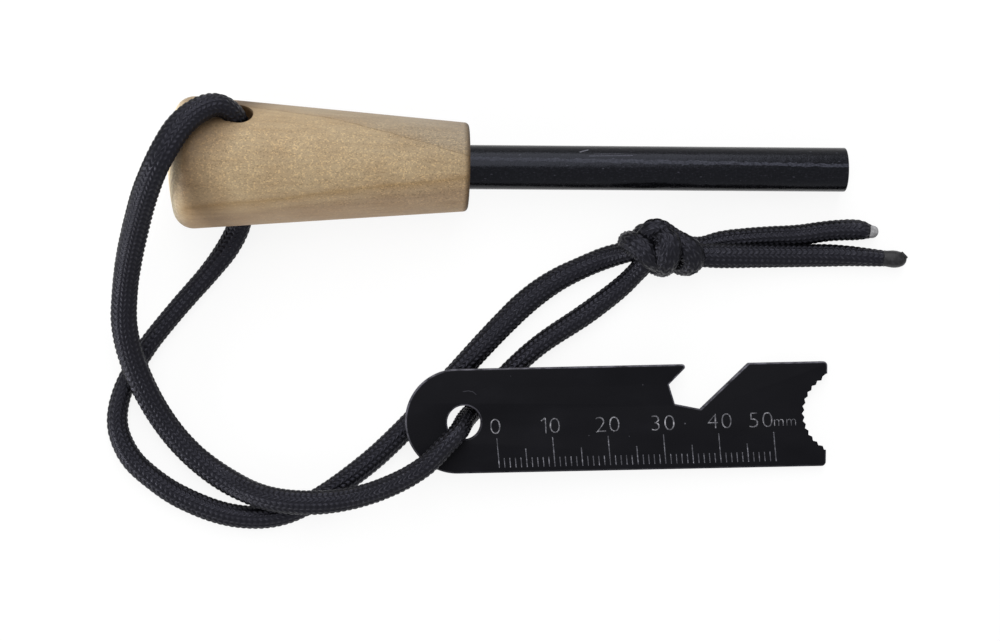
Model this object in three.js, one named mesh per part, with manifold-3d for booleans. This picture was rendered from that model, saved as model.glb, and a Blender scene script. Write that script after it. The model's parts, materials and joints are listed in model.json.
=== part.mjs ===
// Ferro rod fire starter, lying on a flat surface as it is put down after use.
// A turned wooden handle holds a glued-in ferrocerium rod. A flat steel striker with a bottle
// opener notch, a serrated scraping hollow and a cord hole hangs on a knotted cord lanyard.
// Millimetres, +Z up, the surface at z = 0, the rod pointing to +X.

import * as THREE from 'three';
import * as BufferGeometryUtils from 'three/addons/utils/BufferGeometryUtils.js';
import Module from 'manifold-3d';

const wasm = await Module();
wasm.setup();

// Clearances
const seatGap = 0.3; // between pieces that touch on the real object
const cutOverrun = 2; // how far every cutting tool runs past what it cuts
const weldDistance = 0.0001; // mesh corners closer than this are one corner

// Handle: a straight cone with a domed butt
const handleLength = 53.6;
const buttRadius = 12.1; // the straight side carried on to the very end of the butt
const noseRadius = 7.85;
const buttDomeRadius = 38;
const buttFillet = 3.2;
const noseEdge = 0.8;
const boreDepth = 24;
const cordHoleRadius = 2.5;
const cordHoleFromButt = 13.3;
const cordHoleRoll = THREE.MathUtils.degToRad(50); // from straight up, leaning away from the striker
const handleSegments = 64;
const domeSteps = 5;
const filletSteps = 8;
const noseEdgeSteps = 4;

// Rod, and the cup of cured adhesive that holds it in its bore
const rodRadius = 3.95;
const rodExposedLength = 67.5;
const rodEdge = 0.3;
const rodSegments = 32;
const adhesiveWall = 0.3;
const adhesiveBase = 0.8;

// Striker plate
const plateLength = 75.4;
const plateWidth = 18.7;
const plateThickness = 2;
const plateHoleRadius = 3.2;
const plateHoleFromEnd = 10.15;
const plateCorner = 0.8;
const roundEndSteps = 32;
const plateYaw = THREE.MathUtils.degToRad(1.15);
const strandFromFarEnd = 55; // where the lanyard lifts the plate, measured from its square end

// Opener notch: distances from the plate's square end, and depths from its upper edge
const notchMouthFromEnd = 13.95;
const notchFootFromEnd = 22.8;
const notchFootDepth = 8.1;
const notchHeelFromEnd = 27.2;
const notchHeelDepth = 7.1;
const notchThroatFromEnd = 28.2;
const notchThroatDepth = 3.6;
const hookTipFromEnd = 24.95;
const hookTipRadius = 0.55;
const notchCorner = 0.15;

// Serrated hollow in the square end
const hollowWidth = 13.3;
const hollowDepth = 4.2;
const toothDepth = 0.4;
const toothPitch = 1.35;

// Lanyard
const cordRadius = 1.9;
const cordSides = 8;
const loopStepsPerSpan = 2;
const tailStepsPerSpan = 1;

// Knot: two strands tied together in one overhand knot
const knotLength = 15.7;
const knotWidth = 10.4;
const knotHeight = 10.6;
const wrapRadius = 2.05;
const wrapSides = 10;
const wrapSteps = 24;
const knotCentre = { x: 29.2, y: 13.1 };
const knotYaw = THREE.MathUtils.degToRad(4);
// Each wrap's place along the knot, its size, and how far it is turned in plan and leaned over
const wrapShares = [
  { along: -0.26, size: 0.86, turn: 34, lean: 14 },
  { along: 0.06, size: 1, turn: 6, lean: 4 },
  { along: 0.35, size: 0.94, turn: -4, lean: -6 },
];

// Melted ends of the tails
const upperTipRadius = 1.25;
const upperTipLength = 1.5;
const lowerTipRadius = 1.8;
const lowerTipLength = 1.1;
const tipSides = 16;
const tipSteps = 6;

// Where the pieces lie: the butt's centre and the plate's cord hole, in plan
const buttPlace = { x: -58.8, y: 27.5 };
const plateHolePlace = { x: -6.5, y: -18 };
const rodYaw = THREE.MathUtils.degToRad(-0.2);

// The lanyard's route from the knot through the plate's hole, over the butt, down through the
// handle and back to the knot, in the same plan as the places above
const loopRoute = [
  [22.2, 6.2, 2.2], [15.8, 1.5, 1.95], [6.7, -4.9, 1.95], [0.2, -11.2, 1.95],
  [-3.3, -14.7, 2], [-4.9, -16.4, 2.6], [-6.1, -17.6, 4.6], [-6.9, -18.4, 7.1],
  [-8.1, -19.65, 9.2], [-9.8, -21.4, 9.8], [-13, -25.5, 9.8], [-18, -28.8, 8.4],
  [-25.9, -31.4, 6.4], [-33.9, -32.6, 6.1], [-41.6, -32, 4.9], [-48.8, -29.1, 2.3],
  [-55.6, -24.1, 2], [-61, -17.6, 2.9], [-64.4, -6.9, 6.2], [-66.5, 5, 10.2],
  [-64, 16.8, 17.2], [-61.2, 22.8, 21.8], [-58.2, 28, 25], [-54.6, 33.4, 24.6],
  [-51.4, 36.6, 22.4], [-48.6, 37.9, 21.1], [-46.1, 37.4, 19.8], [-45.1, 35.4, 17.8],
  [-45.5, 27.5, 11.1], [-46, 19.1, 4.1], [-46.5, 16.8, 2.5], [-48.9, 13, 1.95],
  [-58.1, 2.2, 1.95], [-65.1, -6.6, 1.95], [-68.6, -18.6, 1.95], [-57.2, -32.1, 1.95],
  [-40.7, -35.4, 1.95], [-16.7, -19.4, 1.95], [0.1, -1.2, 1.95], [20, 11.6, 2.2],
];
const upperTailRoute = [[38.8, 14.3, 4.6], [46.8, 15.1, 3.9], [56.3, 15.8, 2.8], [66.5, 16.4, 1.95]];
const lowerTailRoute = [[38.8, 11, 2], [46.9, 11.2, 1.95], [56.3, 11.6, 1.95], [72.8, 11.1, 1.95]];

// Sizes that follow from the ones above
const coneAngle = Math.atan((buttRadius - noseRadius) / handleLength);
const boreRadius = rodRadius + seatGap + adhesiveWall + seatGap;
const adhesiveStart = handleLength - boreDepth + seatGap;
const rodStart = adhesiveStart + adhesiveBase + seatGap;
const rodTip = handleLength + rodExposedLength;
const farEnd = plateLength - plateHoleFromEnd;
const halfWidth = plateWidth / 2;

// Materials
const wood = new THREE.MeshStandardMaterial({ color: 0xb59c7c, roughness: 0.6, metalness: 0 });
const coatedRod = new THREE.MeshStandardMaterial({ color: 0x2c2d32, roughness: 0.5, metalness: 0.4 });
const epoxy = new THREE.MeshStandardMaterial({ color: 0xc9b98a, roughness: 0.3, metalness: 0 });
const blackSteel = new THREE.MeshStandardMaterial({ color: 0x1a1a1d, roughness: 0.5, metalness: 0.6 });
const blackCord = new THREE.MeshStandardMaterial({ color: 0x28282c, roughness: 0.9, metalness: 0 });
const greyMelt = new THREE.MeshStandardMaterial({ color: 0x8f8f91, roughness: 0.6, metalness: 0 });
const blackMelt = new THREE.MeshStandardMaterial({ color: 0x232325, roughness: 0.4, metalness: 0 });

// A closed geometry as a solid that can be joined and cut
function toSolid(geometry) {
  const bare = geometry.clone();
  bare.deleteAttribute('normal');
  bare.deleteAttribute('uv');
  const merged = BufferGeometryUtils.mergeVertices(bare, weldDistance);
  return new wasm.Manifold(new wasm.Mesh({
    numProp: 3,
    vertProperties: Float32Array.from(merged.attributes.position.array),
    triVerts: Uint32Array.from(merged.index.array),
  }));
}

function toGeometry(solid) {
  const { vertProperties, triVerts } = solid.getMesh();
  const geometry = new THREE.BufferGeometry();
  geometry.setAttribute('position', new THREE.BufferAttribute(vertProperties, 3));
  geometry.setIndex(new THREE.BufferAttribute(triVerts, 1));
  geometry.computeVertexNormals();
  return geometry;
}

function namedMesh(name, geometry, material) {
  const mesh = new THREE.Mesh(geometry, material);
  mesh.name = name;
  return mesh;
}

// A solid of revolution about +X from [distance along the axis, radius] pairs
function turned(profile, segments) {
  const points = profile.map(([along, radius]) => new THREE.Vector2(radius, along));
  const geometry = new THREE.LatheGeometry(points, segments);
  geometry.rotateZ(-Math.PI / 2);
  return geometry;
}

// Points on an arc of a profile, from one angle to the other, both ends included
function arcPoints(centre, radius, from, to, steps) {
  const points = [];
  for (let i = 0; i <= steps; i++) {
    const angle = from + (to - from) * i / steps;
    points.push([centre[0] - radius * Math.cos(angle), centre[1] + radius * Math.sin(angle)]);
  }
  return points;
}

// A route whose steps are shared out evenly between its points, so close points give a fine bend
class RouteCurve extends THREE.CatmullRomCurve3 {
  getPointAt(share, target) {
    return this.getPoint(share, target);
  }

  getTangentAt(share, target) {
    return this.getTangent(share, target);
  }
}

function cordTube(route, stepsPerSpan) {
  const section = new THREE.Shape();
  for (let i = 0; i < cordSides; i++) {
    const angle = 2 * Math.PI * i / cordSides;
    const corner = [cordRadius * Math.cos(angle), cordRadius * Math.sin(angle)];
    if (i === 0) section.moveTo(...corner);
    else section.lineTo(...corner);
  }
  section.closePath();
  const curve = new RouteCurve(route.map((point) => new THREE.Vector3(...point)));
  const steps = stepsPerSpan * (route.length - 1);
  return new THREE.ExtrudeGeometry(section, { steps, extrudePath: curve });
}

// The fillet between the butt's dome and the cone touches both, so its centre lies one fillet
// radius inside the cone's side and inside the dome
function buttFilletCentre() {
  const slope = Math.tan(coneAngle);
  const inside = buttRadius - buttFillet / Math.cos(coneAngle);
  const reach = buttDomeRadius - buttFillet;
  const a = 1 + slope * slope;
  const b = -2 * (buttDomeRadius + slope * inside);
  const c = buttDomeRadius * buttDomeRadius + inside * inside - reach * reach;
  const along = (-b - Math.sqrt(b * b - 4 * a * c)) / (2 * a);
  return [along, inside - slope * along];
}

const filletCentre = buttFilletCentre();

function handleProfile() {
  const domeEnd = Math.atan2(filletCentre[1], buttDomeRadius - filletCentre[0]);
  const noseCentre = [handleLength - noseEdge, noseRadius - noseEdge];
  return [
    ...arcPoints([buttDomeRadius, 0], buttDomeRadius, 0, domeEnd, domeSteps),
    ...arcPoints(filletCentre, buttFillet, domeEnd, Math.PI / 2 + coneAngle, filletSteps).slice(1),
    ...arcPoints(noseCentre, noseEdge, Math.PI / 2 + coneAngle, Math.PI, noseEdgeSteps),
    [handleLength, 0],
  ];
}

function handleGeometry() {
  const blank = toSolid(turned(handleProfile(), handleSegments));
  const boreStart = handleLength - boreDepth;
  const boreEnd = handleLength + cutOverrun;
  const bore = toSolid(turned(
    [[boreStart, 0], [boreStart, boreRadius], [boreEnd, boreRadius], [boreEnd, 0]], rodSegments));
  const cordHole = new THREE.CylinderGeometry(
    cordHoleRadius, cordHoleRadius, 2 * (buttRadius + cutOverrun), rodSegments);
  cordHole.rotateX(Math.PI / 2 - cordHoleRoll);
  cordHole.translate(cordHoleFromButt, 0, 0);
  return toGeometry(blank.subtract(bore).subtract(toSolid(cordHole)));
}

function rodGeometry() {
  return turned([
    [rodStart, 0],
    [rodStart, rodRadius],
    [rodTip - rodEdge, rodRadius],
    [rodTip, rodRadius - rodEdge],
    [rodTip, 0],
  ], rodSegments);
}

function adhesiveGeometry() {
  const innerRadius = rodRadius + seatGap;
  const outerRadius = innerRadius + adhesiveWall;
  const rim = handleLength - noseEdge;
  return turned([
    [adhesiveStart, 0],
    [adhesiveStart, outerRadius],
    [rim, outerRadius],
    [rim, innerRadius],
    [adhesiveStart + adhesiveBase, innerRadius],
    [adhesiveStart + adhesiveBase, 0],
  ], rodSegments);
}

// An outline whose corners, given as [x, y, radius], are rounded by short curves
function roundedShape(corners) {
  const shape = new THREE.Shape();
  corners.forEach(([x, y, radius], i) => {
    const corner = new THREE.Vector2(x, y);
    const before = corners[(i + corners.length - 1) % corners.length];
    const after = corners[(i + 1) % corners.length];
    const towardsBefore = new THREE.Vector2(before[0], before[1]).sub(corner).setLength(radius);
    const towardsAfter = new THREE.Vector2(after[0], after[1]).sub(corner).setLength(radius);
    const start = corner.clone().add(towardsBefore);
    const end = corner.clone().add(towardsAfter);
    if (i === 0) shape.moveTo(start.x, start.y);
    else shape.lineTo(start.x, start.y);
    if (radius > 0) shape.quadraticCurveTo(corner.x, corner.y, end.x, end.y);
  });
  shape.closePath();
  return shape;
}

// The hollow's edge from its lower to its upper end: roots on an arc, tooth tips short of it
function hollowTeeth() {
  const half = hollowWidth / 2;
  const rootRadius = (half * half + hollowDepth * hollowDepth) / (2 * hollowDepth);
  const centre = farEnd - hollowDepth + rootRadius;
  const pitchAngle = toothPitch / rootRadius;
  const widest = Math.asin(half / rootRadius);
  const rootsPerSide = Math.floor(widest / pitchAngle - 1 / 2);
  const points = [];
  for (let i = -2 * rootsPerSide - 1; i <= 2 * rootsPerSide + 1; i++) {
    const angle = i * pitchAngle / 2;
    const radius = i % 2 === 0 ? rootRadius : rootRadius - toothDepth;
    points.push([centre - radius * Math.cos(angle), radius * Math.sin(angle), 0]);
  }
  return points;
}

// The plate's outline, with the cord hole's centre at the origin and the square end at +X
function plateShape() {
  const roundEndCentre = halfWidth - plateHoleFromEnd;
  const halfHollow = hollowWidth / 2;
  const shape = roundedShape([
    [roundEndCentre, halfWidth, 0],
    ...arcPoints([roundEndCentre, 0], halfWidth, Math.PI / 2, -Math.PI / 2, roundEndSteps)
      .slice(1, -1).map(([x, y]) => [x, y, 0]),
    [roundEndCentre, -halfWidth, 0],
    [farEnd, -halfWidth, plateCorner],
    [farEnd, -halfHollow, 0],
    ...hollowTeeth(),
    [farEnd, halfHollow, 0],
    [farEnd, halfWidth, plateCorner],
    [farEnd - notchMouthFromEnd, halfWidth, notchCorner],
    [farEnd - notchFootFromEnd, halfWidth - notchFootDepth, notchCorner],
    [farEnd - notchHeelFromEnd, halfWidth - notchHeelDepth, notchCorner],
    [farEnd - notchThroatFromEnd, halfWidth - notchThroatDepth, 0],
    [farEnd - hookTipFromEnd, halfWidth, hookTipRadius],
  ]);
  const hole = new THREE.Path();
  hole.absarc(0, 0, plateHoleRadius, 0, 2 * Math.PI, true);
  shape.holes.push(hole);
  return shape;
}

function plateGeometry() {
  return new THREE.ExtrudeGeometry(plateShape(), {
    depth: plateThickness,
    bevelEnabled: false,
    curveSegments: 6,
  });
}

// The knot's outer shape: wraps round a core, with the four strands' ends coming out of it
function knotGeometry() {
  const core = new THREE.SphereGeometry(1, wrapSteps, wrapSides);
  core.scale(knotLength / 2 - wrapRadius, knotWidth / 2 - wrapRadius / 2, knotHeight / 2 - wrapRadius / 2);
  let solid = toSolid(core);
  for (const wrap of wrapShares) {
    const halfWidthHere = (knotWidth / 2) * wrap.size - wrapRadius;
    const halfHeightHere = (knotHeight / 2) * wrap.size - wrapRadius;
    const ring = new THREE.TorusGeometry(halfHeightHere, wrapRadius, wrapSides, wrapSteps);
    ring.rotateY(Math.PI / 2);
    ring.scale(1, (halfWidthHere + wrapRadius) / (halfHeightHere + wrapRadius), 1);
    ring.rotateY(THREE.MathUtils.degToRad(wrap.lean));
    ring.rotateZ(THREE.MathUtils.degToRad(wrap.turn));
    ring.translate(wrap.along * knotLength, 0, 0);
    solid = solid.add(toSolid(ring));
  }
  return solid.rotate([0, 0, THREE.MathUtils.radToDeg(knotYaw)])
    .translate([knotCentre.x, knotCentre.y, knotHeight / 2]);
}

// A short piece of cord from just past a free end into the knot
function strandStub(end, next) {
  const from = new THREE.Vector3(...end);
  const outward = from.clone().sub(new THREE.Vector3(...next)).normalize();
  const start = from.addScaledVector(outward, seatGap);
  const inside = new THREE.Vector3(knotCentre.x, knotCentre.y, knotHeight / 2);
  const bend = start.clone().addScaledVector(outward, cordRadius);
  return toSolid(cordTube([start.toArray(), bend.toArray(), inside.toArray()], loopStepsPerSpan));
}

function wholeKnot() {
  const last = loopRoute.length - 1;
  const solid = knotGeometry()
    .add(strandStub(loopRoute[0], loopRoute[1]))
    .add(strandStub(loopRoute[last], loopRoute[last - 1]))
    .add(strandStub(upperTailRoute[0], upperTailRoute[1]))
    .add(strandStub(lowerTailRoute[0], lowerTailRoute[1]));
  return toGeometry(solid);
}

// A domed bead at the end of a tail, in line with it
function meltedTip(name, route, radius, length, material) {
  const end = new THREE.Vector3(...route[route.length - 1]);
  const before = new THREE.Vector3(...route[route.length - 2]);
  const direction = end.clone().sub(before).normalize();
  const profile = [[0, 0]];
  for (let i = 0; i < tipSteps; i++) {
    const angle = Math.PI / 2 * i / tipSteps;
    profile.push([length * Math.sin(angle), radius * Math.cos(angle)]);
  }
  profile.push([length, 0]);
  const mesh = namedMesh(name, turned(profile, tipSides), material);
  mesh.position.copy(end).addScaledVector(direction, seatGap);
  mesh.quaternion.setFromUnitVectors(new THREE.Vector3(1, 0, 0), direction);
  return mesh;
}

// The handle and rod rest on the butt's rounded rim and on the rod's lower tip
function restTilt() {
  const run = rodTip - rodEdge - filletCentre[0];
  const rise = filletCentre[1] - (rodRadius - rodEdge);
  const drop = buttFillet - rodEdge;
  return Math.atan2(rise, run) + Math.asin(drop / Math.hypot(run, rise));
}

const rodTilt = restTilt();
const buttHeight = filletCentre[0] * Math.sin(rodTilt) + filletCentre[1] * Math.cos(rodTilt) + buttFillet;
const plateTilt = Math.asin((2 * cordRadius + seatGap) / strandFromFarEnd);

// Handle, adhesive and rod on their common axis
const rodAssembly = new THREE.Group();
rodAssembly.position.set(buttPlace.x, buttPlace.y, buttHeight);
rodAssembly.rotation.set(0, rodTilt, rodYaw, 'ZYX');
rodAssembly.add(
  namedMesh('wooden_handle', handleGeometry(), wood),
  namedMesh('adhesive_cup', adhesiveGeometry(), epoxy),
  namedMesh('ferrocerium_rod', rodGeometry(), coatedRod),
);

// Striker: its square end on the surface, its round end lifted by the lanyard
const striker = new THREE.Group();
striker.position.set(plateHolePlace.x, plateHolePlace.y, farEnd * Math.sin(plateTilt));
striker.rotation.set(0, plateTilt, plateYaw, 'ZYX');
striker.add(namedMesh('striker_plate', plateGeometry(), blackSteel));

const lanyard = new THREE.Group();
lanyard.add(
  namedMesh('lanyard_loop', cordTube(loopRoute, loopStepsPerSpan), blackCord),
  namedMesh('lanyard_knot', wholeKnot(), blackCord),
  namedMesh('lanyard_tail_upper', cordTube(upperTailRoute, tailStepsPerSpan), blackCord),
  namedMesh('lanyard_tail_lower', cordTube(lowerTailRoute, tailStepsPerSpan), blackCord),
  meltedTip('melted_tip_upper', upperTailRoute, upperTipRadius, upperTipLength, greyMelt),
  meltedTip('melted_tip_lower', lowerTailRoute, lowerTipRadius, lowerTipLength, blackMelt),
);

// The origin is under the middle of the handle, rod and striker taken together
const rigid = new THREE.Group();
rigid.add(rodAssembly, striker);
rigid.updateMatrixWorld(true);
const reach = new THREE.Box3().setFromObject(rigid, true);
const middle = reach.getCenter(new THREE.Vector3());

const fireStarter = new THREE.Group();
fireStarter.position.set(-middle.x, -middle.y, -reach.min.z);
fireStarter.add(rigid, lanyard);

export default fireStarter;
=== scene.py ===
# Ferro rod fire starter: a turned maple handle, a coated ferrocerium rod, a blackened steel striker
# with a ruler, and a braided nylon lanyard tied in a doubled overhand knot.
# Named sizes are in mm and named angles in degrees, unless a comment says otherwise. Blender works in
# metres, and MM is one mm in them.

import json
import math
from functools import partial

import bpy
import numpy as np
from mathutils import Matrix, Vector


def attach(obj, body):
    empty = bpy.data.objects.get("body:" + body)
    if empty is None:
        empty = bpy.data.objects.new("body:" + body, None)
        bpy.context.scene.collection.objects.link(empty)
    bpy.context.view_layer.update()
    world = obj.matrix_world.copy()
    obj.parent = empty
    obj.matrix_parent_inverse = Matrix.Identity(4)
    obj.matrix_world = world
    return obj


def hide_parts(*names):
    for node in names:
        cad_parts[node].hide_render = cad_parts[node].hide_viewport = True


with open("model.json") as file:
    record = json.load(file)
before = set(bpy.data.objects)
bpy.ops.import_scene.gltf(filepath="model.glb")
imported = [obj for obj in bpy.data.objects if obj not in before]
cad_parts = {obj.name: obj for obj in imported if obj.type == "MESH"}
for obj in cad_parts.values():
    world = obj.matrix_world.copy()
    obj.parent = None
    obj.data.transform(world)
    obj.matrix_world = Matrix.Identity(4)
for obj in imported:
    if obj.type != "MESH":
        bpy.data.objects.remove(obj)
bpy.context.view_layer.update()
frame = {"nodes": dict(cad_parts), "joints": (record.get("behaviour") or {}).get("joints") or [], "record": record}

MM = 0.001
SEED = 7
CAMERA_HEIGHT = 503
CAMERA_LENS = 100
CAMERA_SENSOR = 36

# Sizes of the real object, in mm
HANDLE_LENGTH = 53.1
BUTT_RADIUS = 12.05
NOSE_RADIUS = 7.93
BUTT_DOME_RADIUS = 38
BUTT_FILLET = 3.7
NOSE_EDGE = 0.8
BORE_DEPTH = 24
BORE_RADIUS = 4.9
BORE_LIP_RADIUS = 4.03    # the bore narrows to the rod at its mouth, over this depth
BORE_LIP_DEPTH = 0.7
BORE_LIP_EDGE = 0.12
CORD_HOLE_RADIUS = 2.5
CORD_HOLE_FROM_BUTT = 12.35
CORD_HOLE_ROLL = 50       # degrees from straight up, away from the striker
# Heights over the handle's surface, and how much wider the cord hole's drill is there
CORD_HOLE_EASING = ((-1.1, 0.0), (-0.5, 0.07), (0.0, 0.3), (3.0, 0.8))
ROD_RADIUS = 3.95
ROD_START = 31.0
HANDLE_START = 0.15
HANDLE_YAW = -0.56        # degrees between the bore's line and the handle's own
ROD_TIP = 121.1
ROD_EDGE = 0.3
ROD_MIDDLE_FACE = 0.2
PLATE_LENGTH = 75.75
PLATE_WIDTH = 18.7
PLATE_THICKNESS = 2
PLATE_HOLE_RADIUS = 3.0
PLATE_HOLE_DROP = 0.22    # the hole lies this far below the plate's middle line
PLATE_HOLE_FROM_END = 10.5
PLATE_YAW = 1.15          # degrees between the plate and the X axis
PLATE_FAR_END = PLATE_LENGTH - PLATE_HOLE_FROM_END
PLATE_CORNER = 0.8
PLATE_ROUNDING = 0.38     # the edges' radius, rolled over by the punch
# Opener notch: from the plate's square end, and down from its upper edge
NOTCH_MOUTH = 13.7
NOTCH_FOOT = (22.6, 8.1)
NOTCH_HEEL = (27.2, 7.1)
NOTCH_THROAT = (28.2, 3.6)
HOOK_TIP = 24.5
HOOK_TIP_RADIUS = 0.5
NOTCH_MOUTH_RADIUS = 0.45
NOTCH_INNER_RADIUS = 0.1
UPPER_PRONG_REACH = 0.7   # how far the upper prong stands past the square end
LOWER_EDGE_FLARE = 0.2    # the plate is this much wider at its square end
HOLLOW_WIDTH = 13.3
HOLLOW_DEPTH = 4.2
TOOTH_DEPTH = 0.4
TOOTH_PITCH = 1.35
TOOTH_TIP_RADIUS = 0.12
HOLLOW_SHOULDER = 0.3     # the hollow's sides are straight this far in from the square end
UPPER_SHOULDER = (0.35, 0.45)   # the upper side slants out to here: past the end and past itself
GRINDER_OVERRUN = 2
MERGE_DISTANCE = 0.004    # corners closer than this are one
TURNED_SMOOTHING = 32     # degrees: edges flatter than this are shaded smooth
SHEET_SMOOTHING = 24
BURR_SMOOTHING = 50

# From the plan in which the lanyard was laid out to the part's own frame
PLAN_SHIFT = np.array([-1.6965, -5.9308, 0.0])


# Camera

def straight_down_camera():
    data = bpy.data.cameras.new("straight_down")
    data.lens = CAMERA_LENS
    data.sensor_width = CAMERA_SENSOR
    camera = bpy.data.objects.new("straight_down", data)
    camera.location = (PLAN_SHIFT[0] * MM, PLAN_SHIFT[1] * MM, CAMERA_HEIGHT * MM)
    bpy.context.scene.collection.objects.link(camera)
    bpy.context.scene.camera = camera


straight_down_camera()


# Braided cord

# Routes in mm: x, y, z and the cord's width there. The first two start in the middle of the
# handle's hole and end at the knot.
OVER_BUTT_ROUTE = [
    (-45.85, 27.5, 11.1, 4.0), (-45.75, 34.5, 17.1, 3.9), (-46.8, 36.3, 19.5, 3.9),
    (-48.9, 37.5, 21.3, 4.1), (-51.75, 36.6, 22.8, 4.8), (-55.1, 33.65, 24.6, 5.0),
    (-58.5, 28.15, 25, 4.9), (-61.25, 22.8, 21.8, 5.15), (-63.6, 16.7, 17.2, 5.15),
    (-65.5, 10.4, 13.1, 5.05), (-66.55, 5, 10.3, 4.85), (-66.9, -1, 8.4, 4.85), (-65.4, -8.2, 5.8, 4.8),
    (-61, -17.5, 2.9, 4.65), (-55.6, -24.1, 2, 4.55), (-48.8, -29.1, 2.3, 4.7), (-41.6, -31.9, 4.9, 4.5),
    (-33.9, -32.6, 6.1, 4.45), (-25.85, -31.65, 6.4, 4.05), (-18.05, -28.75, 8.4, 3.9),
    (-12.9, -25.5, 9.8, 3.75), (-9.4, -21.85, 9.8, 3.7), (-7.6, -20.15, 9.2, 3.6),
    (-6.7, -18.65, 7.1, 3.4), (-6.1, -17.6, 4.6, 3.4), (-4.9, -16.4, 2.6, 3.5),
    (-3.3, -14.7, 2, 3.6), (0.05, -10.95, 1.95, 3.75), (6.6, -4.8, 1.95, 3.75), (15.85, 1.45, 1.95, 4.0),
    (22.05, 6.25, 2.2, 3.8),
]
UNDER_PLATE_ROUTE = [
    (-45.85, 27.5, 11.1, 4.0), (-46.4, 19.2, 4.1, 4.2), (-47, 17.1, 2.5, 4.3), (-49.1, 13.1, 1.95, 4.3),
    (-52.4, 8.7, 1.95, 3.8), (-58.1, 2.2, 1.95, 3.6), (-64.3, -5.7, 1.95, 3.6),
    (-68.3, -13.4, 1.95, 3.6), (-69, -19, 1.95, 3.85), (-66.7, -24.6, 1.95, 4.1),
    (-62.1, -28.9, 1.95, 4.1), (-57.2, -32, 1.95, 4.3), (-48.6, -35.1, 1.95, 4.25),
    (-40.7, -35.25, 1.95, 4.15), (-34.35, -32.95, 1.95, 3.9), (-24.5, -26.3, 1.95, 4.1),
    (-16.85, -19.25, 1.95, 4.1), (0.1, -1.1, 1.95, 4.5), (5.05, 3.65, 1.95, 4.6), (9.95, 7.15, 1.95, 4.35),
    (15.2, 9.75, 1.95, 4.05), (19.6, 11.5, 2.1, 4.1),
]
LOWER_TAIL_ROUTE = [
    (39.1, 11.6, 4.8, 4.5), (46.9, 11.65, 3.5, 4.4), (54, 11.7, 2.4, 4.25), (59.2, 11.75, 1.95, 4.15),
    (63, 11.65, 1.95, 3.75), (66.5, 11.4, 1.9, 3.3), (69.4, 11.2, 1.85, 2.95),
]
UPPER_TAIL_ROUTE = [
    (39.5, 14.15, 2.6, 3.9), (46.8, 14.95, 2.1, 3.9), (54.1, 15.4, 1.95, 3.85), (59.2, 16.15, 1.95, 3.75),
    (62.6, 16.35, 1.95, 3.85), (64.8, 16.35, 1.95, 3.8), (65.9, 16.2, 1.95, 3.3), (66.8, 16.05, 1.95, 2.4),
]

# The doubled overhand knot: both strands, along and across the knot, up from the table, and width
KNOT_CENTRE = (29.2, 13.1)
OUTER_STRAND = [
    (-7.0, -0.9, 3.3, 3.9), (-5.0, -0.4, 4.8, 3.8), (-3.6, 0.3, 5.4, 3.8), (-2.9, 1.4, 6.2, 4.0),
    (-2.8, 2.7, 7.0, 4.1), (-1.8, 3.45, 7.3, 4.0), (-0.2, 3.0, 7.0, 3.9), (1.6, 1.45, 7.1, 4.0),
    (3.5, 0.35, 7.6, 4.5), (5.0, -0.95, 7.9, 4.8), (5.35, -2.25, 6.8, 5.2), (4.3, -3.1, 4.9, 5.1),
    (3.1, -2.9, 2.7, 4.0), (1.2, -1.7, 1.8, 3.9), (-1.2, -0.1, 1.8, 3.9), (-3.3, 1.5, 2.4, 3.9),
    (-4.1, 2.4, 3.9, 3.9), (-2.5, 2.6, 4.4, 3.8), (0.2, 1.8, 4.2, 3.8), (3.4, 0.7, 3.8, 3.5),
    (6.9, 0.25, 3.1, 3.4),
]
INNER_STRAND = [
    (-4.9, -4.6, 2.8, 3.6), (-3.2, -2.7, 4.4, 3.8), (-2.2, -0.9, 5.1, 3.8), (-1.6, 0.3, 5.9, 4.0),
    (-1.0, 1.3, 7.1, 4.4), (0.1, 1.7, 8.5, 4.9), (0.8, 0.6, 9.1, 5.1), (0.7, -1.3, 9.0, 5.1),
    (0.4, -2.85, 7.6, 5.0), (0.1, -3.4, 5.4, 4.7), (-0.6, -3.2, 3.2, 4.1), (-2.2, -2.4, 1.9, 3.9),
    (-4.0, -1.0, 1.8, 3.9), (-5.6, 0.5, 2.8, 4.2), (-6.3, 1.1, 4.9, 4.5), (-5.7, 0.8, 7.0, 4.7),
    (-3.9, -0.2, 8.2, 4.6), (-2.5, -1.8, 7.8, 4.3), (-1.0, -2.4, 6.0, 4.0), (1.4, -1.8, 5.2, 3.9),
    (4.2, -0.9, 4.9, 3.9), (6.8, -1.4, 4.8, 4.2),
]

COLUMNS = 16              # herringbone columns of a nylon sleeve braided from 32 yarns
# A stitch's height over its column's width, and from its trailing to its leading side
ACROSS_STITCH = np.array([0.1, 0.8, 1, 0.8])
OVER_STITCH = np.array([0, 0.75, 1, 0.9, 0.45])
STITCH_PITCH = 1.0        # from one stitch to the next along the cord
STITCH_SLANT = 0.75       # how far a yarn runs along the cord as it crosses its column
GROOVE_DEPTH = 0.21       # of the gaps between stitches
CROWN_RISE = 0.042        # how far the stitches' crowns stand out past half a route's width
YARN_SPREAD = 0.15        # share of that depth by which the lowest yarn's crown lies lower
BRAID_TURN = 900          # the length over which the braid turns once round the cord
CORD_SECTION = 16.2       # width times height in mm2, so that a wide stretch is a flat one
CORD_HEIGHTS = (3.3, 3.9)
TALLEST_SHARE = 1.15      # of the width, which is all the height that a thin stretch has
RESTING_HEIGHT = 1.95     # of a route's middle line where the cord lies on the table
LIFTED_HEIGHT = 4.0       # above this it rests no more, and settles over the stretch below
SETTLING_HEIGHT = 1.5
BEND_SHARE = 0.9          # of a bend's radius, which is as far as the cord's inside can reach
TABLE_GAP = 0.01
ROUTE_EASING = 50         # passes that smooth a route, and those that smooth its bends
BEND_EASING = 8
SPAN_STEPS = 60           # fine steps from one point of a route to the next
PATH_STRIDE = 8


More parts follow.
